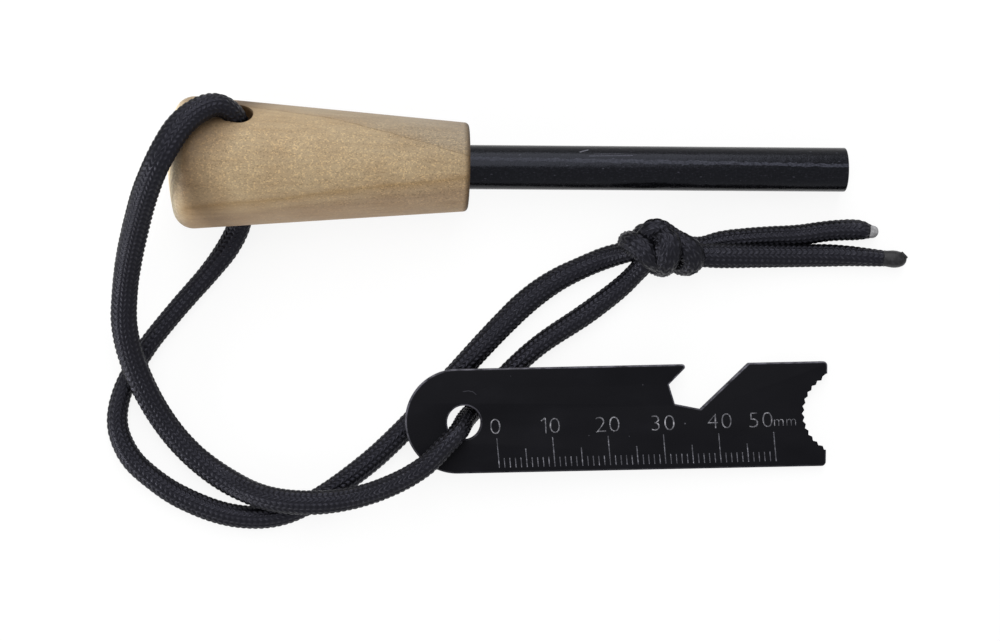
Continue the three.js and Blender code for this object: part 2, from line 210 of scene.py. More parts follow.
def from_knot(points):
    """A route's points from their places in the knot."""
    return [(KNOT_CENTRE[0] + u, KNOT_CENTRE[1] + v, z, width) for u, v, z, width in points]


def smooth_route(points, spacing):
    """A centripetal curve through the points, spaced evenly."""
    p = np.array(points, float)
    p = np.vstack([2 * p[0] - p[1], p, 2 * p[-1] - p[-2]])
    knots = np.concatenate([[0], np.cumsum(np.linalg.norm(np.diff(p[:, :3], axis=0), axis=1) ** 0.5)])
    fine = []
    for i in range(1, len(p) - 2):
        t0, t1, t2, t3 = knots[i - 1:i + 3]
        t = np.linspace(t1, t2, SPAN_STEPS, endpoint=i == len(p) - 3)[:, None]
        a1 = (t1 - t) / (t1 - t0) * p[i - 1] + (t - t0) / (t1 - t0) * p[i]
        a2 = (t2 - t) / (t2 - t1) * p[i] + (t - t1) / (t2 - t1) * p[i + 1]
        a3 = (t3 - t) / (t3 - t2) * p[i + 1] + (t - t2) / (t3 - t2) * p[i + 2]
        b1 = (t2 - t) / (t2 - t0) * a1 + (t - t0) / (t2 - t0) * a2
        b2 = (t3 - t) / (t3 - t1) * a2 + (t - t1) / (t3 - t1) * a3
        fine.append((t2 - t) / (t2 - t1) * b1 + (t - t1) / (t2 - t1) * b2)
    fine = np.vstack(fine)
    along = np.concatenate([[0], np.cumsum(np.linalg.norm(np.diff(fine[:, :3], axis=0), axis=1))])
    places = np.linspace(0, along[-1], int(round(along[-1] / spacing)) + 1)
    return np.stack([np.interp(places, along, fine[:, k]) for k in range(4)], 1)


def eased(values, times):
    """Rounds off the changes of direction of a line, with its ends held."""
    values = values.copy()
    for _ in range(times):
        values[1:-1] = values[1:-1] * 0.5 + (values[:-2] + values[2:]) * 0.25
    return values


def carried_frames(centres):
    """Directions along and across a line, carried along it without twisting."""
    along = np.gradient(centres, axis=0)
    along /= np.linalg.norm(along, axis=1)[:, None]
    side = np.cross(along[0], [0, 0, 1.0])
    if np.linalg.norm(side) < 0.1:
        side = np.cross(along[0], [0, 1.0, 0])
    side /= np.linalg.norm(side)
    sides = [side]
    for direction in along[1:]:
        side = sides[-1] - direction * np.dot(sides[-1], direction)
        sides.append(side / np.linalg.norm(side))
    sides = np.array(sides)
    return along, sides, np.cross(along, sides)


def stitches(rings, around, seed):
    """For each point of a tube, its height in its stitch and its yarn's own share of that height."""
    ring = np.arange(rings)
    column = np.arange(around) // len(ACROSS_STITCH)
    across = ACROSS_STITCH[np.arange(around) % len(ACROSS_STITCH)]
    crown = across[None, :] * OVER_STITCH[ring % len(OVER_STITCH)][:, None]
    yarn = np.random.default_rng(seed).random((rings // len(OVER_STITCH) + 1, COLUMNS))
    return crown, yarn[ring // len(OVER_STITCH)][:, column]


def closed_tube(name, points, ends, **shades):
    """A smooth mesh over rings of points, closed by a fan at each end, with values for each point."""
    rings, around = points.shape[:2]
    points = np.vstack([points.reshape(-1, 3), ends])
    first = np.arange(around)
    following = (first + 1) % around
    starts = np.arange(rings - 1)[:, None] * around
    quads = np.stack([starts + first, starts + following, starts + around + following,
                      starts + around + first], -1).reshape(-1, 4)
    last = (rings - 1) * around
    caps = [(len(points) - 2, int(k), int(j)) for j, k in zip(first, following)]
    caps += [(len(points) - 1, int(last + j), int(last + k)) for j, k in zip(first, following)]
    mesh = bpy.data.meshes.new(name)
    mesh.from_pydata(points.tolist(), [], quads.tolist() + caps)
    for label, values in shades.items():
        attribute = mesh.attributes.new(label, "FLOAT", "POINT")
        attribute.data.foreach_set("value", np.append(values.reshape(-1), [0, 0]).astype(np.float32))
    mesh.polygons.foreach_set("use_smooth", np.ones(len(mesh.polygons), bool))
    mesh.update()
    piece = bpy.data.objects.new(name, mesh)
    bpy.context.scene.collection.objects.link(piece)
    return piece


def braided_tube(name, route, seed):
    """A closed tube along the route, its surface raised in herringbone stitches."""
    around = COLUMNS * len(ACROSS_STITCH)
    step = STITCH_PITCH / len(OVER_STITCH)
    line = eased(smooth_route(route, step), ROUTE_EASING)
    centres, width = line[:, :3], line[:, 3]
    height = np.minimum(np.clip(CORD_SECTION / width, *CORD_HEIGHTS), width * TALLEST_SHARE)
    # where it lies on the table, a flattened cord lies lower
    resting = np.clip((LIFTED_HEIGHT - centres[:, 2]) / SETTLING_HEIGHT, 0, 1)
    centres[:, 2] -= np.clip(RESTING_HEIGHT - height / 2, 0, 1) * resting
    along, side, up = carried_frames(centres)
    bend = eased(np.gradient(along, axis=0) / step, BEND_EASING)
    rings = len(centres)
    ring = np.arange(rings)
    zigzag = STITCH_SLANT * np.abs((np.arange(around) / len(ACROSS_STITCH)) % 2 - 1)
    place = np.clip(ring[:, None] + zigzag[None, :] / step, 0, rings - 1)

    def at(values):
        return np.stack([np.interp(place, ring, values[:, k]) for k in range(values.shape[1])], -1)

    angle = 2 * math.pi * (np.arange(around)[None, :] / around + place * step / BRAID_TURN)
    outward = np.cos(angle)[..., None] * at(side) + np.sin(angle)[..., None] * at(up)
    along_at = at(along)
    level = np.stack([along_at[..., 1], -along_at[..., 0], np.zeros_like(place)], -1)
    flat = (level ** 2).sum(-1)
    sideways = (outward * level).sum(-1) ** 2 / np.maximum(flat, 1e-6)
    half_width = np.interp(place, ring, width) / 2 + CROWN_RISE
    half_height = np.interp(place, ring, height) / 2
    oval = 1 / np.sqrt(sideways / half_width ** 2 + (1 - sideways) / half_height ** 2)
    radius = oval * flat + (half_width + half_height) / 2 * (1 - flat)
    # the inside of a tight bend is squeezed
    bend_in = np.maximum((outward * at(bend)).sum(-1), 1e-6)
    radius = np.minimum(radius, BEND_SHARE / bend_in)
    crown, yarn = stitches(rings, around, seed)
    radius = radius - GROOVE_DEPTH * (1 - crown * (1 - YARN_SPREAD + YARN_SPREAD * yarn))
    points = at(centres) + outward * radius[..., None]
    points[..., 2] = np.maximum(points[..., 2], TABLE_GAP)
    piece = closed_tube(name, (points + PLAN_SHIFT) * MM, (centres[[0, -1]] + PLAN_SHIFT) * MM,
                        crown=crown, yarn=yarn)
    path = ((np.vstack([centres[::PATH_STRIDE], centres[-1:]]) + PLAN_SHIFT) * MM).tolist()
    length = float(np.linalg.norm(np.diff(centres, axis=0), axis=1).sum()) * MM
    return piece, path, length


over_butt, over_butt_path, over_butt_length = braided_tube(
    "lanyard_over_butt", OVER_BUTT_ROUTE + from_knot(INNER_STRAND) + LOWER_TAIL_ROUTE, SEED)
under_plate, under_plate_path, under_plate_length = braided_tube(
    "lanyard_under_plate", UNDER_PLATE_ROUTE + from_knot(OUTER_STRAND) + UPPER_TAIL_ROUTE, SEED + 1)


# Modelling helpers

def select_only(piece):
    bpy.ops.object.select_all(action="DESELECT")
    piece.select_set(True)
    bpy.context.view_layer.objects.active = piece


def turned_piece(name, profile, sides, place):
    """A solid turned about X through (distance along, radius) pairs in mm, then laid at its place."""
    bpy.ops.object.select_all(action="DESELECT")
    along, radius = profile[0]
    bpy.ops.mesh.primitive_circle_add(vertices=sides, radius=radius * MM, fill_type="NGON",
                                      location=(along * MM, 0, 0), rotation=(0, math.pi / 2, 0))
    piece = bpy.context.object
    piece.name = name
    bpy.ops.object.transform_apply(location=True, rotation=True, scale=True)
    bpy.ops.object.mode_set(mode="EDIT")
    bpy.ops.mesh.select_mode(type="FACE")
    bpy.ops.mesh.select_all(action="SELECT")
    for next_along, next_radius in profile[1:]:
        bpy.ops.mesh.extrude_region_move(
            TRANSFORM_OT_translate={"value": ((next_along - along) * MM, 0, 0)})
        share = next_radius / radius
        bpy.ops.transform.resize(value=(1, share, share), center_override=(next_along * MM, 0, 0))
        along, radius = next_along, next_radius
    bpy.ops.mesh.select_all(action="SELECT")
    bpy.ops.mesh.normals_make_consistent(inside=False)
    bpy.ops.object.mode_set(mode="OBJECT")
    piece.data.transform(place)
    bpy.ops.object.shade_smooth_by_angle(angle=math.radians(TURNED_SMOOTHING))
    return piece


def cut_out(piece, tool):
    """Takes the tool's shape out of the piece, and the tool out of the scene."""
    select_only(piece)
    cut = piece.modifiers.new(tool.name, "BOOLEAN")
    cut.operation = "DIFFERENCE"
    cut.solver = "EXACT"
    cut.object = tool
    bpy.ops.object.modifier_apply(modifier=cut.name)
    bpy.data.objects.remove(tool)


def arc(centre, radius, start, end, steps):
    """Profile points on an arc, its angles in radians counted from the butt's side."""
    return [(centre[0] - radius * math.cos(a), centre[1] + radius * math.sin(a))
            for a in np.linspace(start, end, steps + 1)]


# Where the handle, rod and striker lie

mounts = {mount["name"]: mount for mount in frame["record"]["mounts"]}
swing = frame["joints"][0]


def axes(along, upward, origin):
    """A place with its X axis along one direction and its Z axis as near as can be to another."""
    across = upward.cross(along).normalized()
    upward = along.cross(across).normalized()
    place = Matrix((along, across, upward)).transposed().to_4x4()
    place.translation = origin
    return place


rod_axis = Vector(mounts["rod_tip"]["axis"]).normalized()
HANDLE_PLACE = axes(rod_axis, Vector((0, 0, 1)),
                    Vector(mounts["rod_tip"]["pos_m"]) - rod_axis * ROD_TIP * MM)
nose = Matrix.Translation((HANDLE_LENGTH * MM, 0, 0))
WOOD_PLACE = HANDLE_PLACE @ Matrix.Translation((HANDLE_START * MM, 0, 0)) @ nose \
    @ Matrix.Rotation(math.radians(HANDLE_YAW), 4, "Z") @ nose.inverted()
plate_up = Vector(mounts["striker_face"]["axis"]).normalized()
plate_yaw = math.radians(PLATE_YAW)
plate_along = Vector((math.cos(plate_yaw), math.sin(plate_yaw), 0))
plate_along = (plate_along - plate_up * plate_along.dot(plate_up)).normalized()
face = Vector(mounts["striker_face"]["pos_m"])
hole = Vector(swing["pos_m"])
hole += plate_up * ((face - hole).dot(plate_up) - PLATE_THICKNESS / 2 * MM)
PLATE_PLACE = axes(plate_along, plate_up, hole)


# Handle

def handle_profile():
    """A cone with a domed butt, a fillet between them, an eased nose edge and the rod's bore."""
    cone = math.atan((BUTT_RADIUS - NOSE_RADIUS) / HANDLE_LENGTH)
    slope = math.tan(cone)
    inside = BUTT_RADIUS - BUTT_FILLET / math.cos(cone)
    reach = BUTT_DOME_RADIUS - BUTT_FILLET
    # the fillet's centre is where a line along the cone meets a circle inside the dome
    a = 1 + slope * slope
    b = -2 * (BUTT_DOME_RADIUS + slope * inside)
    c = BUTT_DOME_RADIUS ** 2 + inside ** 2 - reach ** 2
    along = (-b - math.sqrt(b * b - 4 * a * c)) / (2 * a)
    fillet = (along, inside - slope * along)
    dome_end = math.atan2(fillet[1], BUTT_DOME_RADIUS - fillet[0])
    nose = (HANDLE_LENGTH - NOSE_EDGE, NOSE_RADIUS - NOSE_EDGE)
    middle_face = dome_end * 0.02     # a tiny flat closes the dome at its middle
    outside = arc((BUTT_DOME_RADIUS, 0), BUTT_DOME_RADIUS, middle_face, dome_end, steps=9)
    outside += arc(fillet, BUTT_FILLET, dome_end, math.pi / 2 + cone, steps=14)[1:]
    outside += arc(nose, NOSE_EDGE, math.pi / 2 + cone, math.pi, steps=6)
    lip = HANDLE_LENGTH - BORE_LIP_DEPTH
    return outside + [
        (HANDLE_LENGTH, BORE_LIP_RADIUS + BORE_LIP_EDGE), (HANDLE_LENGTH - BORE_LIP_EDGE, BORE_LIP_RADIUS),
        (lip, BORE_LIP_RADIUS), (lip, BORE_RADIUS), (HANDLE_LENGTH - BORE_DEPTH, BORE_RADIUS)]


def cord_hole_drill():
    """A drill for the cord's hole, wider at both mouths, where the edge was sanded round."""
    surface = BUTT_RADIUS - (BUTT_RADIUS - NOSE_RADIUS) * CORD_HOLE_FROM_BUTT / HANDLE_LENGTH
    upper_half = [(surface + up, CORD_HOLE_RADIUS + wider) for up, wider in CORD_HOLE_EASING]
    lower_half = [(-height, radius) for height, radius in reversed(upper_half)]
    roll = math.radians(CORD_HOLE_ROLL)
    through = Matrix(((0, 1, 0), (math.sin(roll), 0, math.cos(roll)), (math.cos(roll), 0, -math.sin(roll))))
    place = Matrix.Translation((CORD_HOLE_FROM_BUTT * MM, 0, 0)) @ through.to_4x4()
    return turned_piece("cord_hole_drill", lower_half + upper_half, sides=64, place=place)


def wooden_handle():
    handle = turned_piece("turned_handle", handle_profile(), sides=160, place=Matrix.Identity(4))
    cut_out(handle, cord_hole_drill())
    handle.data.transform(WOOD_PLACE)
    bpy.ops.object.shade_smooth_by_angle(angle=math.radians(TURNED_SMOOTHING))
    return handle


handle = wooden_handle()


# Rod

def coated_rod():
    """A straight rod with an eased edge, its ends closed by small faces in the middle."""
    tip = (ROD_TIP - ROD_EDGE, ROD_RADIUS - ROD_EDGE)
    profile = [(ROD_START, ROD_MIDDLE_FACE), (ROD_START, ROD_RADIUS)]
    profile += arc(tip, ROD_EDGE, math.pi / 2, math.pi, steps=5)
    profile.append((ROD_TIP, ROD_MIDDLE_FACE))
    return turned_piece("coated_rod", profile, sides=128, place=HANDLE_PLACE)


rod = coated_rod()


# Striker plate

ARC_STEP = 0.2            # radians of a rounded corner for each of its edges
ROUND_END_STEPS = 72
HOLE_STEPS = 96


def rounded_corners(corners):
    """Points round an outline, (x, y, radius), each corner with a radius turned into an arc."""
    points = []
    for i, (x, y, radius) in enumerate(corners):
        corner = Vector((x, y))
        if radius == 0:
            points.append(corner)
            continue
        before = (Vector(corners[i - 1][:2]) - corner).normalized()
        after = (Vector(corners[(i + 1) % len(corners)][:2]) - corner).normalized()
        half_angle = before.angle(after) / 2
        centre = corner + (before + after).normalized() * radius / math.sin(half_angle)
        first = corner + before * radius / math.tan(half_angle) - centre
        last = corner + after * radius / math.tan(half_angle) - centre
        turn = first.angle_signed(last)
        steps = max(3, round(abs(turn) / ARC_STEP))
        points += [centre + Matrix.Rotation(-turn * k / steps, 2) @ first for k in range(steps + 1)]
    return points


def hollow_teeth():
    """The serrated hollow from its lower to its upper end: roots on an arc, tips short of it."""
    half = HOLLOW_WIDTH / 2
    root = (half ** 2 + HOLLOW_DEPTH ** 2) / (2 * HOLLOW_DEPTH)
    centre = PLATE_FAR_END - HOLLOW_DEPTH + root
    per_side = int(math.asin(half / root) / (TOOTH_PITCH / root) - 0.5)
    corners = []
    for i in range(-2 * per_side - 1, 2 * per_side + 2):
        angle = i * TOOTH_PITCH / root / 2
        radius = root if i % 2 == 0 else root - TOOTH_DEPTH
        corners.append((centre - radius * math.cos(angle), radius * math.sin(angle), TOOTH_TIP_RADIUS))
    return corners


def striker_outline():
    """Round end, lower edge, square end and the opener notch in the upper edge, about the hole."""
    half = PLATE_WIDTH / 2
    round_centre = half - PLATE_HOLE_FROM_END
    far = PLATE_FAR_END
    corners = [(round_centre - half * math.sin(a), half * math.cos(a), 0)
               for a in np.linspace(0, math.pi, ROUND_END_STEPS + 1)]
    corners += [(far, -half - LOWER_EDGE_FLARE, PLATE_CORNER),
                (far + UPPER_PRONG_REACH, half, PLATE_CORNER),
                (far - NOTCH_MOUTH, half, NOTCH_MOUTH_RADIUS)]
    corners += [(far - back, half - down, NOTCH_INNER_RADIUS)
                for back, down in (NOTCH_FOOT, NOTCH_HEEL, NOTCH_THROAT)]
    corners.append((far - HOOK_TIP, half, HOOK_TIP_RADIUS))
    return rounded_corners(corners)


def flat_piece(name, outlines, thickness, rounding):
    """Sheet cut to flat outlines, raised to its thickness about z = 0 with its edges rounded, in mm."""
    curve = bpy.data.curves.new(name, "CURVE")
    curve.dimensions = "2D"
    curve.fill_mode = "BOTH"
    curve.extrude = thickness / 2 - rounding
    curve.bevel_depth = rounding
    curve.bevel_resolution = 3
    curve.offset = -rounding
    for points in outlines:
        spline = curve.splines.new("POLY")
        spline.points.add(len(points) - 1)
        for point, place in zip(spline.points, points):
            point.co = (place[0], place[1], 0, 1)
        spline.use_cyclic_u = True
    piece = bpy.data.objects.new(name, curve)
    bpy.context.scene.collection.objects.link(piece)
    select_only(piece)
    bpy.ops.object.convert(target="MESH")
    piece = bpy.context.object
    bpy.ops.object.mode_set(mode="EDIT")
    bpy.ops.mesh.select_all(action="SELECT")
    bpy.ops.mesh.remove_doubles(threshold=MERGE_DISTANCE)
    bpy.ops.mesh.normals_make_consistent(inside=False)
    bpy.ops.object.mode_set(mode="OBJECT")
    return piece


def striker_plate():
    """Punched from flat sheet, its edges rolled over, and the serrated hollow ground into its end."""
    hole = [(PLATE_HOLE_RADIUS * math.cos(a), PLATE_HOLE_RADIUS * math.sin(a) - PLATE_HOLE_DROP)
            for a in np.linspace(0, 2 * math.pi, HOLE_STEPS, endpoint=False)]
    plate = flat_piece("blackened_striker", [striker_outline(), hole], PLATE_THICKNESS, PLATE_ROUNDING)
    mouth = PLATE_FAR_END + GRINDER_OVERRUN
    half = HOLLOW_WIDTH / 2
    shoulder = PLATE_FAR_END - HOLLOW_SHOULDER
    past_end, past_side = UPPER_SHOULDER
    hollow = rounded_corners([
        (mouth, -half, 0), (shoulder, -half, 0), *hollow_teeth(), (shoulder, half, 0),
        (PLATE_FAR_END + past_end, half + past_side, 0), (mouth, half + past_side, 0)])
    cut_out(plate, flat_piece("hollow_grinder", [hollow], PLATE_THICKNESS * 2, 0))
    plate.data.transform(PLATE_PLACE @ Matrix.Scale(MM, 4))
    bpy.ops.object.shade_smooth_by_angle(angle=math.radians(SHEET_SMOOTHING))
    return plate


plate = striker_plate()


# Places on the ruler are along from its zero mark and up from the plate's middle line
RULER_ZERO = 6.17         # along from the hole
RULER_FOOT = -8.45        # where the ticks stand
RULER_LEAN = -0.068       # how far a tick leans along for each mm up
TICKS = ((10, 5.25, 0.17), (5, 3.3, 0.17), (1, 1.72, 0.15))    # every so many mm: length and breadth
FIGURE_SIZE = 4.1
FIGURE_WIDENING = 1.12
FIGURE_THINNING = -0.095
FIGURES = (("0", -0.59, -1.05), ("0", 10.1, -1.12), ("20", 19.6, -1.15), ("30", 29.6, -1.1),
           ("40", 39.85, -0.98), ("50", 47.35, -0.95))
UNIT_SIZE = 2.78
UNIT_THINNING = -0.05
UNIT_PLACE = (51.75, -1.5)
LETTER_SPACING = 1.08
# The figure one, whose flag this typeface lacks: along, up, length and turn of its two strokes
ONE_STROKES = ((8.45, -1.1, 2.75, 92), (7.98, 0.0, 0.85, 38))
ONE_BREADTH = 0.18
MARK_LIFT = 0.012         # how far the marks stand proud of the plate
MARK_DEPTH = 0.03


def mark_place(along, up):
    return Matrix.Translation((RULER_ZERO + along, up, PLATE_THICKNESS / 2 + MARK_LIFT))


def leaning(lean):
    skew = Matrix.Identity(4)
    skew[0][1] = lean
    return skew


def flat_stroke(place, length, breadth):
    bpy.ops.object.select_all(action="DESELECT")
    bpy.ops.mesh.primitive_plane_add(size=1, location=(0, 0, 0))
    stroke = bpy.context.object
    stroke.data.transform(place @ Matrix.Diagonal((length, breadth, 1, 1)))
    return stroke


def lettering(text, along, up, size, widening, thinning):
    """A word of plain letters about a place on the ruler."""
    bpy.ops.object.select_all(action="DESELECT")
    bpy.ops.object.text_add(location=(0, 0, 0))
    word = bpy.context.object
    word.data.body = text
    word.data.size = size
    word.data.offset = thinning
    word.data.space_character = LETTER_SPACING
    word.data.resolution_u = 6
    bpy.ops.object.convert(target="MESH")
    word = bpy.context.object
    corners = np.array([v.co[:] for v in word.data.vertices])
    middle = (corners.min(0) + corners.max(0)) / 2
    centred = Matrix.Translation((-middle[0], -middle[1], 0))
    word.data.transform(mark_place(along, up) @ leaning(RULER_LEAN / 2)
                        @ Matrix.Diagonal((widening, 1, 1, 1)) @ centred)
    return word


def ruler_marks():
    """Laser marks on the striker's face: 50 mm of ticks and their numbers, made in mm."""
    marks = []
    for tick in range(51):
        length, breadth = next(size for every, *size in TICKS if tick % every == 0)
        foot = mark_place(tick + RULER_LEAN * length / 2, RULER_FOOT + length / 2)
        marks.append(flat_stroke(foot @ leaning(RULER_LEAN), breadth, length))
    marks += [lettering(*figure, FIGURE_SIZE, FIGURE_WIDENING, FIGURE_THINNING) for figure in FIGURES]
    marks.append(lettering("mm", *UNIT_PLACE, UNIT_SIZE, 1, UNIT_THINNING))
    for along, up, length, turn in ONE_STROKES:
        place = mark_place(along, up) @ Matrix.Rotation(math.radians(turn), 4, "Z")
        marks.append(flat_stroke(place, length, ONE_BREADTH))
    select_only(marks[0])
    for mark in marks:
        mark.select_set(True)
    bpy.ops.object.join()
    ruler = bpy.context.object
    ruler.name = "ruler_marks"
    bpy.ops.object.mode_set(mode="EDIT")
    bpy.ops.mesh.select_all(action="SELECT")
    bpy.ops.mesh.remove_doubles(threshold=MERGE_DISTANCE)
    bpy.ops.mesh.delete_loose(use_verts=True, use_edges=True, use_faces=False)
    bpy.ops.mesh.select_all(action="SELECT")
    bpy.ops.mesh.extrude_region_move(TRANSFORM_OT_translate={"value": (0, 0, -MARK_DEPTH)})
    bpy.ops.mesh.select_all(action="SELECT")
    bpy.ops.mesh.normals_make_consistent(inside=False)
    bpy.ops.object.mode_set(mode="OBJECT")
    ruler.data.transform(PLATE_PLACE @ Matrix.Scale(MM, 4))
    return ruler


ruler = ruler_marks()


# Melted ends

# Turned profiles: distance along from the cord's end, and radius
GREY_END = [(-0.9, 0.9), (-0.2, 1.12), (0.3, 1.2), (0.7, 1.1), (1.0, 0.92), (1.25, 0.66), (1.4, 0.36),
            (1.46, 0.1)]
BLACK_END = [(-0.7, 1.2), (0.0, 1.42), (0.7, 1.5), (1.4, 1.56), (2.1, 1.55), (2.7, 1.44), (3.2, 1.22),
             (3.6, 0.9), (3.85, 0.5), (3.95, 0.12)]
BEAD_FOOT = 0.2           # the lumps begin this far inside the cord's end
GREY_LUMPS = 0.1
BLACK_LUMPS = 0.07
BURR_SIZE = (1.5, 0.5, 0.6)
BURR_EDGE = 0.13
BURR_PLACE = (3.35, 0.78, 0.75)
BURR_TURN = -42


def end_place(route):
    """The end of a route, with X along it."""
    end = Vector(np.array(route[-1][:3]) + PLAN_SHIFT) * MM
    before = Vector(np.array(route[-2][:3]) + PLAN_SHIFT) * MM
    return axes((end - before).normalized(), Vector((0, 0, 1)), end)


def melted_bead(name, profile, lump_height, place):
    """A bead of nylon melted shut: turned from a profile, then pushed out of round by slow lumps."""
    bead = turned_piece(name, profile, sides=40, place=Matrix.Identity(4))
    for vertex in bead.data.vertices:
        x, y, z = (Vector(vertex.co) / MM)[:]
        # waves of 2 to 3 mm, the numbers being radians for each mm and where each wave starts
        lump = math.sin(2.1 * y + 0.9) * math.sin(2.6 * z + 0.4)
        lump += 0.6 * math.sin(2.7 * x + 2.3 * z + 1.2) * math.cos(2.9 * y)
        share = lump_height * lump * min(max(x + BEAD_FOOT, 0), 1)
        # a point in the very middle has no side to go to
        if abs(y) + abs(z) > 0.1:
            vertex.co += Vector((0, y, z)).normalized() * share * MM
    bead.data.transform(place)
    return bead


def melted_burr(bead):
    """A flat drip that set on the side of the bead, one mesh with it."""
    bpy.ops.object.select_all(action="DESELECT")
    bpy.ops.mesh.primitive_cube_add(size=1, location=(0, 0, 0))
    burr = bpy.context.object
    burr.data.transform(Matrix.Diagonal((*(Vector(BURR_SIZE) * MM), 1)))
    bpy.ops.object.mode_set(mode="EDIT")
    bpy.ops.mesh.select_all(action="SELECT")
    bpy.ops.mesh.bevel(offset=BURR_EDGE * MM, segments=3, affect="EDGES")
    bpy.ops.object.mode_set(mode="OBJECT")
    burr.data.transform(end_place(LOWER_TAIL_ROUTE) @ Matrix.Translation(Vector(BURR_PLACE) * MM)
                        @ Matrix.Rotation(math.radians(BURR_TURN), 4, "Z"))
    bpy.ops.object.shade_smooth_by_angle(angle=math.radians(BURR_SMOOTHING))
    bead.select_set(True)
    bpy.context.view_layer.objects.active = bead
    bpy.ops.object.join()
    return bead


grey_end = melted_bead("melted_end_grey", GREY_END, GREY_LUMPS, end_place(UPPER_TAIL_ROUTE))
black_end = melted_bead("melted_end_black", BLACK_END, BLACK_LUMPS, end_place(LOWER_TAIL_ROUTE))
black_end = melted_burr(black_end)


# Materials

# Settings of a node that blends two colours, its inputs 6 and 7
MULTIPLIED = {"data_type": "RGBA", "blend_type": "MULTIPLY"}
OVERLAID = {"data_type": "RGBA", "blend_type": "OVERLAY"}
LAID_OVER = {"data_type": "RGBA", "blend_type": "MIX"}


def srgb(code):
    """A linear colour from an sRGB hex value."""
    channels = [int(code[i:i + 2], 16) / 255 for i in (1, 3, 5)]
    return tuple(c / 12.92 if c <= 0.04045 else ((c + 0.055) / 1.055) ** 2.4 for c in channels) + (1.0,)


def add_node(material, kind, inputs=None, stops=None, **settings):
    """Adds a node with its settings, links and ramp stops. An input takes a number, a hex colour, a
    link as (node, output), or a node alone for the first of its outputs that is in use."""
    node = material.node_tree.nodes.new("ShaderNode" + kind)
    for name, value in settings.items():
        setattr(node, name, value)
    for name, value in (inputs or {}).items():
        if isinstance(value, bpy.types.Node):
            value = (value, next(i for i, output in enumerate(value.outputs) if output.enabled))
        if isinstance(value, tuple) and isinstance(value[0], bpy.types.Node):
            material.node_tree.links.new(value[0].outputs[value[1]], node.inputs[name])
        else:
            node.inputs[name].default_value = srgb(value) if isinstance(value, str) else value
    if stops:
        elements = node.color_ramp.elements
        while len(elements) < len(stops):
            elements.new(0.5)
        for element, (place, colour) in zip(elements, stops):
            element.position = place
            element.color = srgb(colour) if isinstance(colour, str) else (colour, colour, colour, 1)
    return node


def new_material(name):
    material = bpy.data.materials.new(name)
    material.use_nodes = True
    material.node_tree.nodes.clear()
    return material


def finish_material(material, shader):
    add_node(material, "OutputMaterial", {"Surface": shader})
    return material


def local_mm(material, place):
    """Object coordinates in mm along a piece's own axes."""
    coordinates = add_node(material, "TexCoord")
    return add_node(material, "Mapping", {
        "Vector": (coordinates, "Object"), "Location": place.translation,
        "Rotation": place.to_euler("XYZ"), "Scale": (MM, MM, MM)}, vector_type="TEXTURE")


def pattern(material, kind, place, grain, **inputs):
    """A noise or cell texture on a piece's coordinates, its grain's size in mm along each axis."""
    grains = add_node(material, "Mapping", {"Vector": place, "Scale": tuple(1 / size for size in grain)})
    return add_node(material, kind, {"Vector": grains, "Scale": 1.0, **inputs})


def sum_of(material, *terms):
    """Adds up numbers and links, each with a factor: (term, factor)."""
    total = 0.0
    for term, factor in terms:
        total = add_node(material, "Math", {0: term, 1: factor, 2: total}, operation="MULTIPLY_ADD")
    return total


def scratch(material, xyz, start, end, width):
    """1 on a thin straight line between two places of a piece's upper side, else 0."""
    (x0, y0), (x1, y1) = start, end
    slope = (y1 - y0) / (x1 - x0)
    aside = sum_of(material, ((xyz, "Y"), 1), ((xyz, "X"), -slope), (slope * x0 - y0, 1))
    aside = add_node(material, "Math", {0: aside, 1: 0.0, 2: width / 2}, operation="COMPARE")
    along = add_node(material, "Math", {0: (xyz, "X"), 1: (x0 + x1) / 2, 2: abs(x1 - x0) / 2},
                     operation="COMPARE")
    above = add_node(material, "Math", {0: (xyz, "Z"), 1: 0.0}, operation="GREATER_THAN")
    line = add_node(material, "Math", {0: aside, 1: along}, operation="MULTIPLY")
    return add_node(material, "Math", {0: line, 1: above}, operation="MULTIPLY")


def growth_lines_and_lower_shade(material, xyz, wander, fray):
    """The wood's colour: sandy between two growth lines that slant towards the nose, greyer above the
    upper one, and below the lower one darker and greyer towards the lower side, which is painted shade."""
    add = partial(add_node, material)
    # the growth lines in mm from the handle's axis, before they wander: the upper one bows down more
    # and more towards the nose, its height and slope being those at upper_at, and the lower is straight
    upper_at, upper_height, upper_slope, upper_bow = 16.0, 10.43, 0.12, 0.0028
    lower_depth, lower_slope = 9.25, 0.133
    beyond = add("Math", {0: (xyz, "X"), 1: upper_at}, operation="SUBTRACT")
    bowed = add("Math", {0: beyond, 1: beyond}, operation="MULTIPLY")
    upper = sum_of(material, ((xyz, "Y"), 1), (beyond, upper_slope), (bowed, upper_bow),
                   (wander, 1.0), (fray, 0.5), (-upper_height, 1))
    lower = sum_of(material, ((xyz, "Y"), 1), ((xyz, "X"), -lower_slope), (wander, -1.0),
                   (fray, 0.7), (lower_depth, 1))
    # the ramps run from 6 mm below each line to 6 mm above it
    upper = add("MapRange", {"Value": upper, "From Min": -6.0, "From Max": 6.0})
    lower = add("MapRange", {"Value": lower, "From Min": -6.0, "From Max": 6.0})
    upper_tone = add("ValToRGB", {"Fac": upper}, stops=[
        (0.0, "#bea98b"), (0.478, "#b29f84"), (0.495, "#98856c"), (0.503, "#a6957f"), (0.6, "#a69885"),
        (1.0, "#998d80")])
    # below the lower growth line the tone turns darker and mauve-grey towards the lower side: painted shade, with
    # the growth line itself as a thin band
    lower_line_and_shade_tone = add("ValToRGB", {"Fac": lower}, stops=[
        (0.1, "#ece6e6"), (0.24, "#e8e2e2"), (0.31, "#dfd9d8"), (0.4, "#eeeae5"), (0.47, "#e7e0d4"),
        (0.5, "#e1d8c7"), (0.55, "#f1ede5"), (0.62, "#f8f7f1")])
    return add("Mix", {"Factor": 1.0, 6: upper_tone, 7: lower_line_and_shade_tone}, **MULTIPLIED)


